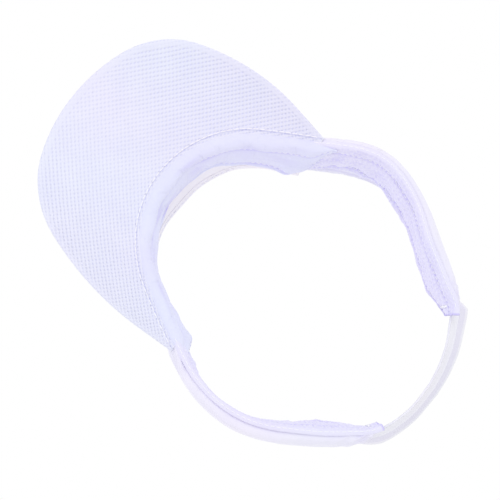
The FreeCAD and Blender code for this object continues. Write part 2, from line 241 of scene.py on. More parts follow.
def cloth_material(name, colour, shade, roughness=0.85, sheen=0.25, weave=None, bump=0.15, fibre=0.4):
    """A woven or knitted cloth: colour that varies a little, thread relief and soft sheen.

    weave is (thread pitch along, pitch across) in metres, read from the mesh's own cloth
    coordinates; shade is the colour that the shade painted into its hollows, seams and folds goes
    towards.
    """
    material, nodes, links, shader = new_material(name)
    shader.inputs["Roughness"].default_value = roughness
    shader.inputs["Sheen Weight"].default_value = sheen
    shader.inputs["Sheen Roughness"].default_value = 0.6
    shader.inputs["Specular IOR Level"].default_value = 0.2

    def node(kind, **values):
        made = nodes.new(kind)
        for key, value in values.items():
            setattr(made, key, value)
        return made

    def math_node(operation, first, second=None, clamp=False):
        made = node("ShaderNodeMath", operation=operation, use_clamp=clamp)
        for socket, value in zip(made.inputs, (first, second)):
            if value is None:
                continue
            if isinstance(value, (int, float)):
                socket.default_value = value
            else:
                links.new(value, socket)
        return made.outputs[0]

    lie = node("ShaderNodeAttribute", attribute_name="cloth")
    parts = node("ShaderNodeSeparateXYZ")
    links.new(lie.outputs["Vector"], parts.inputs[0])
    # the painted shade of each point: how far its colour goes towards the shade colour
    painted_shade = node("ShaderNodeAttribute", attribute_name="painted_shade")
    spot = node("ShaderNodeTexCoord")

    def noise(scale, detail):
        made = node("ShaderNodeTexNoise")
        made.inputs["Scale"].default_value = scale
        made.inputs["Detail"].default_value = detail
        links.new(spot.outputs["Object"], made.inputs["Vector"])
        return made.outputs["Fac"]

    relief = math_node("MULTIPLY", noise(2600, 3), fibre)
    if weave:
        waves = []
        for socket, pitch in zip((parts.outputs[0], parts.outputs[1]), weave):
            angle = math_node("MULTIPLY", socket, 2 * math.pi / pitch)
            waves.append(math_node("SINE", angle))
        crossing = math_node("MULTIPLY", waves[0], waves[1])
        lines = math_node("MULTIPLY", waves[1], 0.5)
        relief = math_node("ADD", relief, math_node("ADD", crossing, lines))
    bump_node = node("ShaderNodeBump")
    bump_node.inputs["Strength"].default_value = bump
    bump_node.inputs["Distance"].default_value = 0.0003
    links.new(relief, bump_node.inputs["Height"])
    links.new(bump_node.outputs["Normal"], shader.inputs["Normal"])
    # painted shade: the colour goes towards the shade colour in hollows, seams and folds and, slightly,
    # in the weave's dips; it also goes there a little in random blotches, the cloth's uneven tone
    depth = math_node("MULTIPLY", noise(70, 4), 0.3)
    depth = math_node("ADD", depth, painted_shade.outputs["Fac"], clamp=True)
    depth = math_node("SUBTRACT", depth, math_node("MULTIPLY", relief, 0.04), clamp=True)
    mix = node("ShaderNodeMix", data_type="RGBA")
    warm = node("ShaderNodeMix", data_type="RGBA")
    warm.inputs["A"].default_value = (colour[0] * 0.99, colour[1] * 1.01, colour[2], 1)
    warm.inputs["B"].default_value = (colour[0] * 1.015, colour[1] * 0.995, colour[2], 1)
    drift = math_node("MULTIPLY", math_node("SUBTRACT", noise(16, 1), 0.35), 3.0, clamp=True)
    links.new(drift, warm.inputs["Factor"])
    links.new(warm.outputs["Result"], mix.inputs["A"])
    mix.inputs["B"].default_value = (*shade, 1)
    links.new(depth, mix.inputs["Factor"])
    links.new(mix.outputs["Result"], shader.inputs["Base Color"])
    return material


def plain_material(name, colour, roughness, grain):
    """A hidden moulded or foamed piece: fine grain in its surface and its colour."""
    material, nodes, links, shader = new_material(name)
    shader.inputs["Roughness"].default_value = roughness
    spot = nodes.new("ShaderNodeTexCoord")
    noise = nodes.new("ShaderNodeTexNoise")
    noise.inputs["Scale"].default_value = grain
    links.new(spot.outputs["Object"], noise.inputs["Vector"])
    ramp = nodes.new("ShaderNodeValToRGB")
    ramp.color_ramp.elements[0].color = (*(c * 0.9 for c in colour), 1)
    ramp.color_ramp.elements[1].color = (*colour, 1)
    links.new(noise.outputs["Fac"], ramp.inputs["Fac"])
    links.new(ramp.outputs["Color"], shader.inputs["Base Color"])
    bump = nodes.new("ShaderNodeBump")
    bump.inputs["Strength"].default_value = 0.4
    bump.inputs["Distance"].default_value = 0.0003
    links.new(noise.outputs["Fac"], bump.inputs["Height"])
    links.new(bump.outputs["Normal"], shader.inputs["Normal"])
    return material


# each cloth's second colour is its shade colour, which its painted shade goes towards
MATERIALS = {
    "mesh_knit": cloth_material("mesh_knit_cloth", (0.84, 0.84, 0.965), (0.61, 0.62, 0.88), 0.8,
                                weave=(0.00042, 0.00036)),
    "shell_cloth": cloth_material("shell_knit_cloth", (0.87, 0.85, 0.96), (0.66, 0.62, 0.90), 0.7,
                                  sheen=0.35, weave=(0.0004, 0.00034), bump=0.1),
    "sweatband_cloth": cloth_material("sweatband_brushed_cloth", (0.80, 0.815, 0.975),
                                      (0.62, 0.58, 0.94), 0.9, weave=(0.0005, 0.0004)),
    "terry_cloth": cloth_material("terry_loop_cloth", (0.83, 0.81, 0.965), (0.62, 0.58, 0.92), 0.95,
                                  sheen=0.4, fibre=0.9),
    "lining_cloth": cloth_material("lining_woven_cloth", (0.94, 0.91, 0.97), (0.84, 0.79, 0.90),
                                   0.85, weave=(0.0005, 0.0005)),
    "elastic_knit": cloth_material("ribbed_elastic_cloth", (0.88, 0.87, 0.94), (0.72, 0.69, 0.86),
                                   0.75, weave=(0.0008, 0.0007)),
    "thread": cloth_material("polyester_thread", (0.94, 0.93, 0.99), (0.80, 0.79, 0.96), 0.5,
                             sheen=0.1, fibre=0.8),
    "board": plain_material("board_plastic", (0.85, 0.85, 0.86), 0.55, 900),
    "foam": plain_material("open_cell_foam", (0.88, 0.88, 0.88), 0.95, 1800),
}

# ------------------------------------------------------------------ mesh helpers


def smooth_step(value, low, high):
    share = np.clip((np.asarray(value, float) - low) / (high - low), 0, 1)
    return share * share * (3 - 2 * share)


def hump(value, middle, spread):
    """A smooth bump: 1 in its middle and near 0 beyond twice its spread."""
    return np.exp(-((value - middle) / spread) ** 2)


def unit(vectors):
    return vectors / np.linalg.norm(vectors, axis=-1, keepdims=True)


def run_along(line):
    """Distances along a line of points."""
    steps = np.linalg.norm(np.diff(line, axis=0), axis=1)
    return np.concatenate([[0], np.cumsum(steps)])


def points_at(spots, run, line):
    """Points of a line at these of its distances."""
    return np.stack([np.interp(spots, run, part) for part in line.T], -1)


def ripple(seed, count, longest, shortest):
    """A smooth random function of one or two coordinates in metres, between about -1 and 1."""
    rng = np.random.default_rng(seed)
    lengths = np.exp(rng.uniform(math.log(shortest), math.log(longest), count))
    angles = rng.uniform(-1, 1, count)
    phases = rng.uniform(0, 2 * math.pi, count)
    weights = lengths / np.sqrt((lengths ** 2).sum() / 2)

    def value(along_cloth, across=0.0, slant=0.0):
        total = 0.0
        for length, angle, phase, weight in zip(lengths, angles, phases, weights):
            turn = slant * angle
            arm = along_cloth * math.cos(turn) + across * math.sin(turn)
            total = total + weight * np.sin(2 * math.pi * arm / length + phase)
        return total / 2
    return value


def normals_of(grid, closed):
    """Unit normals of a grid of points; its second direction may be closed."""
    if closed:
        across = np.roll(grid, -1, 1) - np.roll(grid, 1, 1)
    else:
        across = np.gradient(grid, axis=1)
    normal = np.cross(np.gradient(grid, axis=0), across)
    return normal / np.maximum(np.linalg.norm(normal, axis=-1, keepdims=True), 1e-12)


def refined(grid, along_by, across_by, closed):
    """The same surface with more rows and columns, by cubic interpolation."""
    def cubic(values, by, wraps):
        count = len(values)
        spots = np.arange(count * by if wraps else (count - 1) * by + 1) / by
        first = np.floor(spots).astype(int)
        first = first if wraps else np.minimum(first, count - 2)
        t = (spots - first).reshape(-1, *[1] * (values.ndim - 1))
        fetch = [(first + k) % count if wraps else np.clip(first + k, 0, count - 1)
                 for k in (-1, 0, 1, 2)]
        a, b, c, d = (values[f] for f in fetch)
        return b + 0.5 * t * (c - a + t * (2 * a - 5 * b + 4 * c - d + t * (3 * (b - c) + d - a)))
    grid = cubic(grid, along_by, False)
    return np.swapaxes(cubic(np.swapaxes(grid, 0, 1), across_by, closed), 0, 1)


def distances(grid):
    """Cloth coordinates of a grid: metres along its rows and across them."""
    along_run = np.cumsum(np.linalg.norm(np.diff(grid, axis=0, prepend=grid[:1]), axis=-1), 0)
    across_run = np.cumsum(np.linalg.norm(np.diff(grid, axis=1, prepend=grid[:, :1]), axis=-1), 1)
    middle = along_run[:, [grid.shape[1] // 2]]
    return np.broadcast_to(middle, along_run.shape), across_run


def closed_mesh(name, grid):
    """A mesh through rows of points; each row is a closed section, and the ends are capped."""
    rows, columns = grid.shape[:2]
    index = np.arange(rows * columns).reshape(rows, columns)
    after = np.roll(index, -1, 1)
    quads = np.stack([index[:-1], index[1:], after[1:], after[:-1]], -1).reshape(-1, 4)
    mesh = bpy.data.meshes.new(name)
    mesh.from_pydata(grid.reshape(-1, 3).tolist(), [],
                     quads.tolist() + [index[0].tolist(), index[-1][::-1].tolist()])
    return mesh


def face_out(mesh):
    """Turns a mesh's faces outward."""
    work = bmesh.new()
    work.from_mesh(mesh)
    bmesh.ops.recalc_face_normals(work, faces=work.faces)
    work.to_mesh(mesh)
    work.free()


def grid_piece(name, slot, grid, lie=None, painted_shade=None):
    """A piece through closed rows of points, with its cloth coordinates and its painted shade."""
    mesh = closed_mesh(name, grid)
    rows, columns = grid.shape[:2]
    if lie is None:
        lie = distances(grid)
    cloth = np.zeros((rows * columns, 3), np.float32)
    cloth[:, 0], cloth[:, 1] = (np.asarray(part).reshape(-1) for part in lie)
    mesh.attributes.new("cloth", "FLOAT_VECTOR", "POINT").data.foreach_set("vector", cloth.ravel())
    # the painted shade of each point, zero where none is painted
    sunk = np.zeros(rows * columns, np.float32) if painted_shade is None else painted_shade.reshape(-1)
    mesh.attributes.new("painted_shade", "FLOAT", "POINT").data.foreach_set(
        "value", sunk.astype(np.float32))
    mesh.shade_smooth()
    return finished(name, mesh, slot)


def finished(name, mesh, slot):
    """An object for a finished mesh, with its normals outward and its slot's material."""
    piece = bpy.data.objects.new("visible_" + name, mesh)
    bpy.context.scene.collection.objects.link(piece)
    face_out(mesh)
    mesh.materials.append(MATERIALS[slot])
    return piece


def stands_for(piece, node):
    """The piece takes a CAD node's place and rides on the visor."""
    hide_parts(node)
    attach(piece, "visor")


def thick(outer, thickness, skip):
    """Closed rows of a sheet: a finely divided face and a coarser one behind it."""
    normal = normals_of(outer, False)
    columns = outer.shape[1]
    back = outer - normal * thickness
    chosen = list(range(columns - 1, 0, -skip)) + [0]
    return np.concatenate([outer, back[:, chosen]], 1)


def even(points, count, closed=False):
    """A smooth outline through a few points, divided into a number of even steps."""
    points = np.asarray(points, float)
    grid = refined(points[None].repeat(2, 0), 1, 24, closed)[0]
    if closed:
        grid = np.concatenate([grid, grid[:1]])
    run = run_along(grid)
    spots = np.linspace(0, run[-1], count + 1 if closed else count)
    spots = spots[:-1] if closed else spots
    return points_at(spots, run, grid)


# ------------------------------------------------------------------ stitches


def stitches(name, slot, line, outward, length=2.6 * MM, gap=0.7 * MM, width=0.26 * MM):
    """Separate stitches of thread along a line of points that lies on the cloth."""
    line, outward = np.asarray(line, float), np.asarray(outward, float)
    run = run_along(line)
    count = max(1, int(run[-1] // (length + gap)))
    pitch = run[-1] / count
    rings, sides = 7, 8
    share = np.linspace(0, 1, rings)
    swell = np.sqrt(np.clip(1 - (2 * share - 1) ** 4, 0.02, 1)) * width
    height = (np.sin(math.pi * share) * 0.8 + 0.35) * width
    vertices, faces = [], []
    for number in range(count):
        spots = number * pitch + gap / 2 + share * (pitch - gap)
        centre = points_at(spots, run, line)
        up = unit(points_at(spots, run, outward))
        centre = centre + up * height[:, None]
        forward = np.gradient(centre, axis=0)
        across = unit(np.cross(forward, up))
        base = len(vertices)
        for ring in range(rings):
            for side in range(sides):
                angle = 2 * math.pi * side / sides
                arm = across[ring] * math.cos(angle) + up[ring] * math.sin(angle)
                vertices.append(centre[ring] + arm * swell[ring])
        for ring in range(rings - 1):
            for side in range(sides):
                a = base + ring * sides + side
                b = base + ring * sides + (side + 1) % sides
                faces.append((a, b, b + sides, a + sides))
        faces.append([base + side for side in range(sides)])
        faces.append([base + (rings - 1) * sides + side for side in reversed(range(sides))])
    mesh = bpy.data.meshes.new(name)
    mesh.from_pydata([tuple(v) for v in vertices], [], faces)
    for kind, form in (("cloth", "FLOAT_VECTOR"), ("painted_shade", "FLOAT")):
        mesh.attributes.new(kind, form, "POINT")
    mesh.shade_smooth()
    return finished(name, mesh, slot)


# ------------------------------------------------------------------ cloth simulation

SIM_SCALE = 20          # the cloth solver works on a model this many times larger


def puffed(rows, sewn, pressure, slack, cap):
    """Closed rows blown up by the cloth solver between the points that are sewn down."""
    scene = bpy.context.scene
    shape = rows.shape
    mesh = closed_mesh("pad", rows * SIM_SCALE)
    pad = bpy.data.objects.new("pad", mesh)
    scene.collection.objects.link(pad)
    face_out(mesh)
    held = pad.vertex_groups.new(name="sewn")
    strength = np.clip(sewn, 0, 1).reshape(-1)
    for number in np.nonzero(strength > 0)[0]:
        held.add([int(number)], float(strength[number]), "REPLACE")
    cloth = pad.modifiers.new("cloth", "CLOTH").settings
    cloth.quality = 6
    cloth.mass = 0.3
    cloth.tension_stiffness = cloth.compression_stiffness = 12
    cloth.shear_stiffness = 8
    cloth.bending_stiffness = 0.4
    cloth.vertex_group_mass = "sewn"
    cloth.use_pressure = True
    cloth.uniform_pressure_force = pressure
    cloth.shrink_min = -slack
    cloth.effector_weights.gravity = 0
    for number in range(1, 22):
        scene.frame_set(number)
    shown = pad.evaluated_get(bpy.context.evaluated_depsgraph_get())
    places = np.zeros(shape[0] * shape[1] * 3)
    shown.data.vertices.foreach_get("co", places)
    scene.frame_set(1)
    bpy.data.objects.remove(pad)
    moved = places.reshape(shape) / SIM_SCALE - rows
    far = np.linalg.norm(moved, axis=-1, keepdims=True)
    return rows + moved * np.minimum(1, cap / np.maximum(far, 1e-9))


# ------------------------------------------------------------------ brim

ARCH_RADIUS = 126 * MM
BRIM_SLOPE = math.radians(21.5)
BRIM_REACH = 119.2 * MM
BRIM_ARCS = [turned(97, 20.5), turned(53, 48), turned(151, 17), turned(140, 8)]
BRIM_UNDER, BRIM_OVER = -1.9 * MM, 1.7 * MM
BRIM_EDGE_MARGIN = 4.6 * MM
BRIM, (BRIM_RUN, corner_x, corner_y, corner_heading) = walk((0, -BRIM_REACH), BRIM_ARCS)
BRIM.append((BRIM_RUN, corner_x, corner_y, corner_heading, 1000.0))   # then as good as straight


def on_arch(points, height):
    """Points of the arched brim above or below its middle surface, in the band's frame."""
    x, y = points[..., 0], points[..., 1]
    rise = np.sqrt((ARCH_RADIUS + height) ** 2 - x ** 2) - ARCH_RADIUS
    run = (-FRONT_REACH - y - rise * math.sin(BRIM_SLOPE)) / math.cos(BRIM_SLOPE)
    z = -run * math.sin(BRIM_SLOPE) + rise * math.cos(BRIM_SLOPE)
    return np.stack([x, y, z], -1)


def brim_lines(columns, inner_offset):
    """The brim's inner line at an offset outside the band, and its outer edge, both in plan."""
    share = np.linspace(-1, 1, columns)
    points, outward = band_at(share * (SEAM_RUN + 2.5 * MM))
    inner = points + outward * inner_offset
    # the outer edge ends where it meets the inner line's end
    runs = np.linspace(0, BRIM_RUN + 27 * MM, 3000)
    edge, _ = along(BRIM, runs)
    stop = runs[np.argmin(np.linalg.norm(edge - inner[-1], axis=1))]
    outer, heading = along(BRIM, np.abs(share) * stop)
    side = np.where(share < 0, -1.0, 1.0)
    outer[:, 0] *= side
    outward = np.stack([np.sin(heading) * side, -np.cos(heading)], -1)
    return inner, outer, outward


KNIT_ACROSS, KNIT_ALONG = 3.3 * MM, 2.9 * MM       # the mesh knit's staggered holes


def knit_holes(points):
    """Depth of the mesh knit's holes, from 0 to 1, over the brim's plan."""
    across = ARCH_RADIUS * np.arcsin(np.clip(points[..., 0] / ARCH_RADIUS, -1, 1))
    down = (-FRONT_REACH - points[..., 1]) / math.cos(BRIM_SLOPE)
    wobble = ripple(3, 5, 0.05, 0.02)(across, down, 1.5) * 0.12 * MM
    lines = (across / KNIT_ACROSS, down / KNIT_ALONG)
    depth = 0
    for slope, side in ((1, -1), (-1, 1)):              # threads drawn out along one diagonal
        spot = lines[0] - slope * lines[1]
        weight = 0.28 * smooth_step(side * points[..., 0], -20 * MM, 35 * MM)
        depth = depth + weight * hump(spot, np.round(spot), 0.13)
    for shift, strength in ((0, 1.0), (0.5, 0.85)):
        u = (across + wobble) / KNIT_ACROSS + shift
        v = (down + wobble) / KNIT_ALONG + shift
        u, v = u - np.round(u), v - np.round(v)
        reach = np.hypot(u / 0.20, v / 0.155)
        depth = depth + strength * np.exp(-reach ** 2.2)
    return depth


def make_brim():
    """The mesh-knit underside that rolls over the edge, the smooth top cover, and the rows."""
    columns = 600
    inner, outer, edge_out = brim_lines(columns, -1.8 * MM)
    rows = 200
    share = np.linspace(0, 1, rows)[None, :, None]
    roll = (BRIM_OVER - BRIM_UNDER) / 2         # the rolled edge is half a circle of this radius
    rim_line = (outer - edge_out * roll)[:, None]
    under = inner[:, None] * (1 - share) + rim_line * share
    middle = (BRIM_OVER + BRIM_UNDER) / 2
    face = on_arch(under, BRIM_UNDER)
    turn = np.linspace(-math.pi / 2, math.pi / 2, 16)[1:-1]
    rim_plan = rim_line + edge_out[:, None] * roll * np.cos(turn)[None, :, None]
    rim = on_arch(rim_plan, middle + roll * np.sin(turn))
    back_share = np.linspace(0, 1, 6)[None, :, None]
    top_plan = rim_line - edge_out[:, None] * 2.0 * MM * back_share
    beyond = (columns, len(turn) + 6)           # the columns on the rim and on top of it
    top = on_arch(top_plan, BRIM_OVER)
    grid = stand(np.concatenate([face, rim, top], 1))
    plan = np.concatenate([under, rim_plan, top_plan], 1)
    # how far in from the edge, for the smoother margin, and out from the band, for the seam
    from_edge = np.linalg.norm(under - outer[:, None], axis=-1)
    from_edge = np.concatenate([from_edge, np.zeros(beyond)], 1)
    seam_out = np.linalg.norm(under - inner[:, None], axis=-1) - (1.8 + 1.4) * MM
    seam_out = np.concatenate([seam_out, np.ones(beyond)], 1)
    # the knit goes on round the rim by its true length
    rim_knit = under[:, -1:] + edge_out[:, None] * roll * (turn + math.pi / 2)[None, :, None]
    top_knit = under[:, -1:] + edge_out[:, None] * (roll * math.pi + 2.0 * MM * back_share)
    holes = knit_holes(np.concatenate([under, rim_knit, top_knit], 1))
    smooth_edge = 0.25 + 0.5 * smooth_step(-under[..., 0], 25 * MM, 50 * MM)
    smooth_edge = np.concatenate([smooth_edge, np.zeros(beyond)], 1)
    strength = smooth_step(from_edge, 0.6 * BRIM_EDGE_MARGIN, BRIM_EDGE_MARGIN)
    strength = smooth_edge + (1 - smooth_edge) * strength
    strength = np.where(from_edge == 0, 0.75, strength)
    middle_out = np.linalg.norm(plan - np.array([0.0, -0.098]), axis=-1)
    strength = strength * (0.85 + 0.15 * smooth_step(middle_out, 22 * MM, 52 * MM))
    holes = holes * strength
    groove = hump(seam_out, -0.5 * MM, 0.45 * MM)
    crease = hump(from_edge, BRIM_EDGE_MARGIN, 0.5 * MM) * 0.12 * MM
    drop = 0.45 * MM * holes + 0.35 * MM * groove + crease
    normal = normals_of(grid, False)
    if normal[columns // 2, 10, 2] > 0:
        normal = -normal
    grid = grid - normal * drop[..., None]
    # painted shade: the knit's holes and the seam's groove are darkened towards the shade colour
    painted_shade = np.clip(0.5 * holes + 0.35 * groove, 0, 1)
    turned_in = np.concatenate([top_plan[:, -1:], (outer - edge_out * 2.4 * MM)[:, None]], 1)
    inside = stand(on_arch(turned_in, 0.95 * MM))
    below = stand(on_arch(under[:, [-1, -40, -80, 0]], -0.95 * MM))
    closed = np.concatenate([grid, inside, below], 1)
    extra = closed.shape[1] - grid.shape[1]
    painted_shade = np.concatenate([painted_shade, np.zeros((columns, extra))], 1)
    across = ARCH_RADIUS * np.arcsin(np.clip(plan[..., 0] / ARCH_RADIUS, -1, 1))
    lie = [np.concatenate([part, np.repeat(part[:, -1:], extra, 1)], 1)
           for part in (across, -plan[..., 1] / math.cos(BRIM_SLOPE))]
    mesh_skin = grid_piece("brim_underside_mesh", "mesh_knit", closed, lie=lie, painted_shade=painted_shade)
    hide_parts("brim_underside_mesh")
    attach(mesh_skin, "visor")

    # the top cover runs from the band to 3 mm inside the edge
    share = np.linspace(0, 1, 40)[None, :, None]
    inner_top, outer_top, out_top = brim_lines(240, -0.4 * MM)
    plan = inner_top[:, None] * (1 - share) + (outer_top - out_top * 3.0 * MM)[:, None] * share
    puff = 0.25 * MM * np.sin(math.pi * share[..., 0])
    cover = stand(on_arch(plan, BRIM_OVER + 0.15 * MM + puff))
    cover_rows = thick(cover, 0.8 * MM, 6)
    cover_piece = grid_piece("brim_top_cover", "shell_cloth", cover_rows)
    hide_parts("brim_top_cover")
    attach(cover_piece, "visor")

    # stitches: along the top, 4 mm inside the edge, and below, where brim and band are joined
    row = outer_top - out_top * 4.0 * MM
    line = stand(on_arch(row, BRIM_OVER + 0.25 * MM))
    up = stand(on_arch(row, BRIM_OVER + 5 * MM)) - line
    edge_row = stitches("brim_edge_stitching", "thread", line[3:-3], up[3:-3])
    stands_for(edge_row, "brim_edge_stitching")
    points, outward = band_at(np.linspace(-SEAM_RUN, SEAM_RUN, 400))
    seam = points + outward * 1.4 * MM
    line = stand(on_arch(seam, BRIM_UNDER + 0.25 * MM))
    down = stand(on_arch(seam, BRIM_UNDER - 5 * MM)) - line
    seam_row = stitches("brim_seam_stitching", "thread", line, down, 3.6 * MM, 0.05 * MM, 0.36 * MM)
    stands_for(seam_row, "brim_seam_stitching")


# ------------------------------------------------------------------ band


def profile(*knots):
    """A smooth value along the band from (place, value) knots.

    A place is 0 at the front's middle, 1 at a panel seam, 2 at a side band's end, and below 0
    on the right.
    """
    spots = np.linspace(-2.2, 2.2, 881)
    kernel = np.exp(-0.5 * (np.arange(-40, 41) / 13) ** 2)
    values = np.pad(np.interp(spots, *zip(*knots)), 40, mode="edge")
    values = np.convolve(values, kernel / kernel.sum(), "valid")

    def at(run):
        return np.interp(np.copysign(share_of(run), run), spots, values)
    return at


def share_of(run):
    """0 at the front's middle, 1 at a panel seam and 2 at a side band's end."""
    run = np.abs(run)
    return np.where(run > SEAM_RUN, 1 + (run - SEAM_RUN) / (END_RUN - SEAM_RUN), run / SEAM_RUN)


HEIGHT = profile((-2, 26), (-1, 38.8), (-0.5, 43.5), (0, 45), (0.5, 43.5), (1, 38.8), (2, 26))
LEAN = profile((-2, -8), (-1.5, 0), (-1, 12), (-0.6, 12), (0, 14), (0.5, 12), (1, 12), (1.2, 12.5),
               (1.33, 9.5), (1.5, -3), (2, -21))
TIP = profile((-1, 0), (-0.56, -1.0), (-0.42, 1.2), (-0.16, 3.0), (0.12, 5.2), (0.3, 3.4), (0.45, 1.9),
              (0.57, -0.6), (0.77, -3.4), (0.9, -1.0), (1, 0.3))
SWELL = profile((-2, 2.0), (-1.92, 2.4), (-1.8, 1.5), (-1.65, 0.8), (-1.45, 1.8), (-1.15, 2.0),
                (-1.05, 2.6), (-0.95, 0.8), (0.95, 0.8), (1.03, 2.8), (1.15, 3.2), (1.29, 6.8),
                (1.38, 4.4), (1.5, 1.6), (1.62, -0.8), (1.72, -2.0), (1.82, -1.2), (2, -0.4))
FOOT_WIDTH = profile((-2, 4.4), (-1.6, 6.4), (-1.1, 5.4), (1.1, 3.6), (1.4, 4.6), (1.75, 6.6),
                     (2, 3.4))
LINING_LEAN = profile((-2.03, -1), (-1.9, 11), (-1.8, 13.5), (-1.72, 12.5), (-1.56, 1.5), (-1.42, -1.5),
                      (-1.29, -3.5), (-1.17, 4.5), (-1.06, 14), (-1, 14), (1, 15), (1.12, 15),
                      (1.3, 9), (1.45, 8), (1.55, 4.5), (1.72, -1.5), (1.78, 2), (1.86, 16.5),
                      (1.93, 20), (2.03, 12))
LINING_HEIGHT = profile((-2, 17), (-1.6, 21), (-1, 26), (1, 26), (1.6, 24), (1.9, 20), (1.97, 16),
                        (2.05, 6))
SWEATBAND_LEAN = profile((-1, 14), (-0.7, 6.5), (-0.4, 11), (0, 15), (0.42, 8.5), (0.8, 11),
                         (1, 13.5))


def drawn(points, count):
    """A closed section outline in metres from a few points in millimetres."""
    outline = even(np.array(points) * MM, count, closed=True)
    return outline[:, 0], outline[:, 1]


def raised(up, height, drawn_height, foot=8 * MM):
    """Heights of an outline drawn for one wall height, on rows of other heights."""
    grown = foot + (up[None] - foot) * (height[:, None] - foot) / (drawn_height - foot)
    return np.where(up[None] > foot, grown, up[None])


def wall(runs, inset, up, lean):
    """Rows of points on a wall that leans in by a number of degrees in each row."""
    slope = np.tan(np.radians(lean))[:, None]
    return place(runs[:, None], -(inset + up * slope), up)


def arch_foot(runs):
    """How far the brim's middle surface lies above the band's foot along the band."""
    points, _ = band_at(runs)
    return on_arch(points, 0)[..., 2]


def outward_normals(grid):
    """Unit normals of closed sections, pointing out of them."""
    normal = normals_of(grid, True)
    inside_out = ((grid - grid.mean(1, keepdims=True)) * normal).sum() <= 0
    return -normal if inside_out else normal


def nearest_column(inset, up, spot):
    """The column of an outline nearest to a spot in millimetres."""
    return int(np.argmin(np.hypot(inset / MM - spot[0], up / MM - spot[1])))


FRONT_RUNS = np.linspace(-SEAM_RUN, SEAM_RUN, 300)


def front_layer(name, slot, points, count, rough):
    """One layer of the front panel, from an outline drawn in millimetres at its middle."""
    inset, up = drawn(points, count)
    runs = FRONT_RUNS
    tall = raised(up, HEIGHT(runs) * MM, 45 * MM)
    insets = inset[None] + TIP(runs)[:, None] * MM * smooth_step(tall, 22 * MM, 44 * MM)
    insets = insets + rough(runs[:, None], tall)
    piece = grid_piece(name, slot, wall(runs, insets, tall, LEAN(runs)))
    stands_for(piece, name)
    return piece


def make_front():
    """The front panel: shell, stiffening, lining, top binding and the row along its top edge."""
    dent = ripple(11, 6, 0.09, 0.03)

    def rough(run, up):
        return dent(run, up, 1.5) * 0.25 * MM
    shell = front_layer("front_panel_shell", "shell_cloth", [
        (0.6, -0.2), (-0.1, 0.4), (-0.2, 6), (-0.3, 20), (-0.25, 36), (0, 44), (0.6, 45), (1.1, 44),
        (1.1, 36), (1.1, 20), (1.1, 6), (1.1, 0.4)], 72, rough)
    front_layer("front_interlining", "foam", [
        (1.3, 0.6), (1.3, 22), (1.3, 43), (2.1, 44), (2.8, 43), (2.8, 22), (2.8, 0.6), (2.1, 0.2)],
        40, rough)
    lining = front_layer("front_lining", "lining_cloth", [
        (3.0, 0.6), (3.0, 22), (3.0, 43), (3.3, 44.4), (4.0, 43), (4.05, 36), (4.0, 22), (3.8, 5),
        (3.4, 0.4)], 72, rough)
    binding = front_layer("top_edge_binding", "lining_cloth", [
        (-0.5, 39), (-0.55, 42), (-0.3, 45), (0.7, 46.3), (2.0, 46.6), (3.4, 46.2), (4.4, 44.8),
        (4.55, 42), (4.35, 39.2), (4.1, 38.9), (4.0, 39.4), (4.05, 42), (3.6, 44.6), (2.0, 45.6),
        (0.6, 45), (0.05, 42), (-0.1, 39.2)], 96, rough)
    inner = wall(FRONT_RUNS, (4.6 + TIP(FRONT_RUNS)[:, None] * 0.97) * MM,
                 HEIGHT(FRONT_RUNS)[:, None] * MM - 3.6 * MM, LEAN(FRONT_RUNS))[:, 0]
    out = place(FRONT_RUNS, 1.0, 0.0) - place(FRONT_RUNS, 0.0, 0.0)
    top_row = stitches("top_edge_stitching", "thread", inner[2:-2], -out[2:-2])
    stands_for(top_row, "top_edge_stitching")


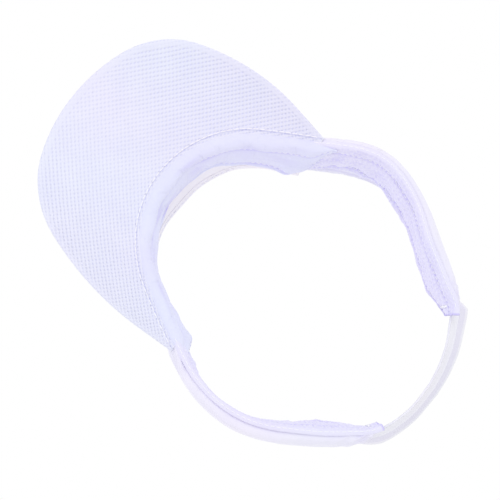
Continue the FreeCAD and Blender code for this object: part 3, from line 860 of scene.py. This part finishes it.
def make_sweatband():
    """The padded sweatband tube along the front's lower edge, with its two rows."""
    reach = SEAM_RUN + 13 * MM
    runs = np.linspace(-reach, reach, 380)
    points = [(1.6, 0.9), (0.6, 0.5), (0.0, -0.5), (1.6, -1.9), (4.4, -2.0), (6.6, -0.6), (7.7, 1.8),
              (7.8, 4.2), (7.2, 5.8), (8.0, 7.8), (8.9, 12), (9.0, 17), (8.4, 22), (7.3, 25.2),
              (8.0, 27.2), (7.4, 29.2), (6.0, 29.6), (5.2, 28), (4.9, 22), (4.8, 14), (4.6, 7),
              (4.3, 3), (3.4, 1.4)]
    inset, up = drawn(points, 132)
    rows = np.abs(runs) / SEAM_RUN
    taper = smooth_step(np.abs(runs), SEAM_RUN - 3 * MM, reach)    # beyond the panel seams
    height = (27 + 2.5 * np.exp(-(rows / 0.8) ** 4)) * MM
    tall = raised(up, height, 29.6 * MM) * (1 - 0.93 * taper[:, None])
    level = np.minimum(0, arch_foot(runs))[:, None] * 0.8 * (up[None] < 1.2 * MM)
    tall = tall + level * np.clip(1.2 - up[None] / MM, 0, 1) / 1.2
    insets = 3 * MM + (inset[None] - 3 * MM) * (1 - 0.85 * taper[:, None])
    fold = sum(depth * hump(runs / SEAM_RUN, spot, spread)
               for depth, spot, spread in ((2.8, 0.90, 0.055), (3.8, -1.04, 0.07), (1.4, -0.86, 0.05)))
    bump = (fold - 0.8 * hump(rows, 0, 0.4)) * MM
    inward = smooth_step(up, 6 * MM, 27 * MM)[None] * (inset > 4.4 * MM)[None]
    wave = ripple(21, 7, 0.05, 0.012)
    folds = ripple(22, 9, 0.012, 0.0035)
    face = smooth_step(insets, 5.5 * MM, 7.5 * MM)
    insets = insets + inward * bump[:, None]
    insets = insets + face * wave(runs[:, None], tall * 2.5, 0.8) * 0.7 * MM
    crushed = 0.35 + 0.65 * hump(runs / SEAM_RUN, -0.3, 0.4)[:, None]
    wrinkle = face * crushed * folds(runs[:, None] * 0.22, tall, 1.57)
    insets = insets + wrinkle * 0.8 * MM
    lean = SWEATBAND_LEAN(runs)
    grid = wall(runs, insets, tall, lean)
    low_row = nearest_column(inset, up, (7.2, 5.8))
    high_row = nearest_column(inset, up, (7.3, 25.2))
    edge = nearest_column(inset, up, (6.0, 29.6))
    sewn = np.zeros(grid.shape[:2])
    for column in (low_row, high_row):
        sewn[:, column - 1:column + 2] = 1
    sewn[:, :nearest_column(inset, up, (1.6, -1.9))] = 1
    sewn[:, edge + 3:] = 1
    sewn[:3] = sewn[-3:] = 1
    grid = puffed(grid, sewn, 3.0, 0.006, 1.2 * MM)
    puckered = ripple(23, 8, 0.007, 0.003)
    rows_near = np.zeros(grid.shape[1])
    for column in (low_row, high_row):
        rows_near = np.maximum(rows_near, hump(np.arange(len(inset)), column, 1.6))
    spread = np.roll(rows_near, 3) + np.roll(rows_near, -3)
    normal = outward_normals(grid)
    grid = grid - normal * (rows_near[None, :, None] * 0.3 * MM)
    grid = grid + normal * (spread[None, :, None] * 0.14 * MM * puckered(runs)[:, None, None])
    # painted shade along the two stitched rows and in the folds of the wrinkles
    painted_shade = np.clip(0.75 * rows_near[None] - 0.55 * wrinkle, 0, 1)
    band = grid_piece("front_sweatband", "sweatband_cloth", grid, painted_shade=painted_shade)
    stands_for(band, "front_sweatband")
    for name, column in (("front_sweatband_lower_stitching", low_row),
                         ("front_sweatband_upper_stitching", high_row)):
        stands_for(stitches(name, "thread", grid[3:-3, column], normal[3:-3, column]), name)
    inset, up = drawn([(5.2, 3), (5.0, 8), (5.2, 16), (5.3, 22.5), (5.8, 23.2), (6.3, 21), (6.8, 16),
                       (6.7, 11), (6.2, 6), (5.9, 3)], 40)
    kept = slice(28, -28)                        # the padding ends before the band's tapered ends
    core = grid_piece("front_sweatband_padding", "foam", wall(runs[kept], inset, up, lean[kept]))
    stands_for(core, "front_sweatband_padding")


def make_side(side):
    """One side band: padded shell, foam core, terry lining, rows, seam and bar tack."""
    word = "left" if side == LEFT else "right"
    seed = 40 if side == LEFT else 60
    runs = np.linspace(SEAM_RUN + 0.1 * MM, END_RUN, 300)
    signed = runs * side
    share = share_of(runs) - 1
    height = HEIGHT(signed) * MM
    thick_foot = FOOT_WIDTH(signed) * MM
    swell = SWELL(signed) * MM
    lean = LEAN(signed)
    end = smooth_step(share, 0.93, 1.0)          # the gathered end over the elastic
    # shell: a puffy roll at the foot, narrowing to a stitched hem at the top
    outline = [(2.5, -1.2), (0.7, -0.7), (-0.2, 1.2), (-0.5, 6), (-0.5, 14), (-0.1, 22), (0.6, 28.2),
               (0.15, 30.2), (1.0, 32), (2.4, 32), (3.1, 30.4), (2.7, 28.4), (3.4, 22), (4.2, 14),
               (4.7, 7), (5.0, 2), (4.4, -0.5)]
    inset, up = drawn(outline, 96)

    def fitted(inset, up):
        """An outline drawn 32 mm high and 5 mm thick, on every row of the band."""
        insets = inset[None] * (thick_foot / (5 * MM))[:, None] * (1 - 0.3 * end[:, None])
        insets = insets - swell[:, None] * (1 - 0.35 * smooth_step(up, 10 * MM, 30 * MM))[None]
        return insets, raised(up, height, 32 * MM)
    insets, tall = fitted(inset, up)
    wave = ripple(seed, 7, 0.05, 0.014)
    folds = ripple(seed + 1, 8, 0.009, 0.003)
    insets = insets + wave(signed[:, None], tall * 1.5, 1.2) * 0.35 * MM
    gather = hump(share, 1, 0.10)[:, None]
    insets = insets + gather * folds(signed[:, None], tall * 0.2, 0.4) * 0.7 * MM
    grid = wall(signed, insets, tall, lean)
    outer_row = nearest_column(inset, up, (0.6, 28.2))
    inner_row = nearest_column(inset, up, (2.7, 28.4))
    foot_in = nearest_column(inset, up, (5.0, 2))
    columns = np.arange(len(inset))
    sewn = np.zeros(grid.shape[:2])
    for column in (outer_row, inner_row):
        sewn[:, column - 1:column + 2] = 1
    sewn[:, inner_row:foot_in + 2] = 1
    sewn[:2] = sewn[-2:] = 1
    grid = puffed(grid, sewn, 3.5, 0.03, 1.4 * MM)
    normal = outward_normals(grid)
    near = np.maximum(hump(columns, outer_row, 1.2), hump(columns, inner_row, 1.2))
    grid = grid - normal * (near[None, :, None] * 0.25 * MM)
    # painted shade along the two stitched rows, in the crease at the foot and in the folds of the
    # gathered end
    foot_near = hump(columns, foot_in, 4.0)
    painted_shade = np.broadcast_to(0.5 * near + 0.3 * foot_near, grid.shape[:2]) + 0.4 * gather * (
        0.5 + 0.5 * folds(signed[:, None], tall * 0.2, 0.4))
    shell = grid_piece(word + "_side_shell", "shell_cloth", grid, painted_shade=painted_shade)
    stands_for(shell, word + "_side_shell")
    line, out = grid[2:-2, outer_row], normal[2:-2, outer_row]
    # foam core inside the shell
    core_in, tall = fitted(*drawn([(1.2, 1.5), (1.0, 8), (1.3, 18), (1.8, 25), (2.3, 25), (2.9, 18),
                                   (3.4, 9), (3.8, 2)], 28))
    kept = slice(3, -16)                         # the foam stops short of the gathered end
    core = grid_piece(word + "_side_foam", "foam",
                      wall(signed[kept], core_in[kept], tall[kept], lean[kept]))
    stands_for(core, word + "_side_foam")
    # terry lining: joined to the foot and leaning in, with a turned free edge
    runs = np.linspace(SEAM_RUN - 9 * MM, END_RUN + 7.0 * MM, 400)
    signed = runs * side
    share = share_of(runs) - 1
    start = (FOOT_WIDTH(signed) - SWELL(signed)) * MM * (1 - 0.4 * smooth_step(share, 0.9, 1.0))
    height = LINING_HEIGHT(signed) * MM
    outline = [(-2.1, -0.8), (0.0, -1.8), (1.5, -0.6), (2.1, 3), (1.7, 5.0), (2.3, 7), (2.7, 12),
               (2.5, 17), (1.9, 20.6), (1.5, 22.4), (2.2, 24.2), (1.7, 25.8), (0.7, 26), (0.0, 24.6),
               (0.2, 22.4), (0.3, 17), (0.4, 12), (0.3, 7), (0.1, 3), (-0.8, 1.2)]
    inset, up = drawn(outline, 132)
    tall = raised(up, height, 26 * MM, 3 * MM)
    face = smooth_step(inset, 0.9 * MM, 1.5 * MM)[None]
    free = smooth_step(up, 5 * MM, 26 * MM)[None]
    wave = ripple(seed + 2, 6, 0.045, 0.016)
    tucked = smooth_step(SEAM_RUN + 3 * MM - runs, 0, 10 * MM)[:, None]   # behind the sweatband
    insets = inset[None] * (1 - 0.5 * tucked) + start[:, None]
    deep = np.interp(share, [0, 0.3, 0.6, 1], [0.7, 0.9, 0.5, 0.4])[:, None] * MM
    deep = deep * (1.0 if side == LEFT else 0.5)
    insets = insets + free * wave(signed[:, None]) * deep
    crumple = ripple(seed + 5, 12, 0.016, 0.005)(signed[:, None], tall * 0.9, 2.2)
    bunched = np.interp(share, [0.0, 0.12, 0.35, 0.5, 1], [0.3, 1.0, 0.6, 0.25, 0.3])[:, None]
    insets = insets + face * free ** 0.3 * crumple * bunched * 1.3 * MM
    folds = ripple(seed + 3, 9, 0.011, 0.0035)
    insets = insets + face * folds(signed[:, None] * 0.22, tall, 1.57) * 0.5 * MM
    grid = wall(signed, insets, tall, LINING_LEAN(signed))
    rows_at = [nearest_column(inset, up, (1.7, 5.0)), nearest_column(inset, up, (1.5, 22.4))]
    columns = np.arange(len(inset))
    near = sum(hump(columns, column, 1.6) for column in rows_at)
    normal = outward_normals(grid)
    loops = ripple(seed + 4, 26, 0.0030, 0.0013)(signed[:, None], tall, math.pi)
    relief = face * (0.15 * loops) - 0.35 * near[None]
    grid = grid + normal * relief[..., None] * MM
    # painted shade between the terry loops and in the crumples, along the two stitched rows, and,
    # deepest, at the lining's cut end by the elastic
    cut = smooth_step(runs, runs[-1] - 1.6 * MM, runs[-1] - 0.4 * MM)[:, None]
    painted_shade = np.clip(0.3 - 0.5 * loops - 0.4 * crumple * bunched, 0, 1) * face * 0.5
    painted_shade = np.clip(painted_shade + 0.6 * near[None] + 0.9 * cut, 0, 1)
    lining = grid_piece(word + "_side_lining", "terry_cloth", grid, painted_shade=painted_shade)
    stands_for(lining, word + "_side_lining")
    # the rows: one on the roll's crease, one along the shell's top, two on the lining
    crease = wall(signed, start[:, None] - 0.2 * MM, np.full((len(runs), 1), -1.62 * MM),
                  LEAN(signed))[:, 0]
    down = stand([0.0, 0, -1]) - stand([0.0, 0, 0])
    crease = crease[20:-12]
    foot_row = stitches(word + "_side_stitching", "thread", crease, np.broadcast_to(down, crease.shape))
    top_row = stitches(word + "_side_top_row", "thread", line, out)
    rows = [stitches(word + f"_lining_row_{number}", "thread", grid[4:-4, column],
                     normal[4:-4, column]) for number, column in enumerate(rows_at)]
    for piece in (foot_row, top_row):
        stands_for(piece, word + "_side_stitching")
    for piece in rows:
        stands_for(piece, word + "_lining_stitching")
    # panel seam: the stitched butt joint between front panel and side band
    seam_run = np.full(60, SEAM_RUN * side)
    up = np.linspace(0.5, 38.0, 60) * MM
    outer = wall(seam_run, np.full((60, 1), -0.55 * MM), up[:, None], LEAN(seam_run))[:, 0]
    _, outward = band_at(seam_run)
    out = stand(np.concatenate([outward, np.zeros((60, 1))], 1)) - stand([0.0, 0, 0])
    seam = stitches(word + "_panel_seam", "thread", outer, out, 2.2 * MM, 0.4 * MM, 0.28 * MM)
    stands_for(seam, word + "_panel_seam")
    # bar tack: a dense zigzag through the lining's end, the elastic and the shell
    turns, tack_row = 34, 382
    tack_columns = np.linspace(rows_at[0] + 4, rows_at[1] - 4, turns).astype(int)
    tack_rows = tack_row + np.where(np.arange(turns) % 2, 2, -2)
    path = (grid + normal * 0.12 * MM)[tack_rows, tack_columns]
    path = refined(path[:, None].repeat(2, 1), 6, 1, False)[:, 0]
    tack = thread_tube(word + "_bar_tack", path, 0.22 * MM)
    stands_for(tack, word + "_bar_tack")


def thread_tube(name, path, radius, sides=8):
    """One continuous thread through a line of points."""
    path = np.asarray(path)
    forward = unit(np.gradient(path, axis=0))
    first = unit(np.cross(forward, [0.0, 0, 1]))
    second = np.cross(forward, first)
    angles = np.linspace(0, 2 * math.pi, sides, endpoint=False)
    grid = path[:, None] + radius * (first[:, None] * np.cos(angles)[None, :, None]
                                     + second[:, None] * np.sin(angles)[None, :, None])
    return grid_piece(name, "thread", grid)


def make_elastic():
    """The ribbed rear elastic: stretched between the side bands, flaring out towards its top."""
    half = np.linspace(END_RUN - 9 * MM, BAND_LENGTH, 190)
    runs = np.concatenate([half, -half[::-1][1:]])
    travel = np.linspace(0, 1, len(runs))
    width, body = 20 * MM, 1.5 * MM
    across = np.linspace(0, width, 90)
    share = across / width
    # a flat strip, a ridge, a ribbed middle and a smooth outer strip
    ribs = 0.5 + 0.5 * np.cos(2 * math.pi * across / (1.25 * MM))
    middle = smooth_step(share, 0.42, 0.47) * (1 - smooth_step(share, 0.80, 0.85))
    ridge = hump(share, 0.38, 0.04) * 0.55 + hump(share, 0.9, 0.05) * 0.35
    relief = (middle * ribs * 0.30 + ridge) * MM
    pinch = 1 - 0.15 * hump(np.minimum(travel, 1 - travel), 0, 0.06)
    crease = ripple(81, 6, 0.05, 0.02)(runs) * 0.5 * MM
    cross = ripple(82, 10, 0.006, 0.0025)(travel * 0.11)
    splay = np.radians(np.interp(
        travel, [0, 0.05, 0.10, 0.3, 0.55, 0.85, 0.95, 1], [20, 28, 44, 38, 30, 26, 15, 10]))
    shift = np.interp(travel, [0, 0.15, 0.35, 0.55, 0.8, 0.92, 1], [-0.8, -1.1, -0.9, 0.7, 2.2, 1.6, 0.6])
    foot = -2.3 * MM + shift * MM + crease
    rise = across[None] * pinch[:, None]
    out_face = foot[:, None] + rise * np.sin(splay)[:, None]
    up_face = 4 * MM + rise * np.cos(splay)[:, None]
    # the outer face carries the ribs, the inner one is flatter
    lift = relief[None] + middle[None] * cross[:, None] * 0.05 * MM
    out_a = out_face + (body / 2 + lift) * np.cos(splay)[:, None]
    up_a = up_face - (body / 2 + lift) * np.sin(splay)[:, None]
    chosen = np.arange(len(across) - 1, -1, -2)
    lift = 0.5 * relief[None, chosen]
    out_b = out_face[:, chosen] - (body / 2 + lift) * np.cos(splay)[:, None]
    up_b = up_face[:, chosen] + (body / 2 + lift) * np.sin(splay)[:, None]
    out, up = np.concatenate([out_a, out_b], 1), np.concatenate([up_a, up_b], 1)
    grid = place(runs[:, None], out, up)
    # painted shade in the grooves between the ribs
    sunk = np.concatenate([middle * (1 - ribs), middle[chosen] * (1 - ribs[chosen])])
    painted_shade = np.broadcast_to(0.8 * sunk, grid.shape[:2])
    strap = grid_piece("elastic_strap", "elastic_knit", grid, painted_shade=painted_shade)
    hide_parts("elastic_strap")
    sewn = place(np.array(END_RUN - 2 * MM), np.array(0.0), np.array(14 * MM))
    rear = place(np.array(BAND_LENGTH), np.array(0.0), np.array(14 * MM))
    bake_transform(strap)


make_stage()
look(azimuth=313.11, elevation=-72.68, roll=260.13, target=(-0.00230, -0.00483, 0.02064),
     distance=0.7462, lens=97.74)
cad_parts["brim_board"].data.materials.clear()
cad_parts["brim_board"].data.materials.append(MATERIALS["board"])
make_brim()
make_front()
make_sweatband()
make_side(LEFT)
make_side(RIGHT)
make_elastic()
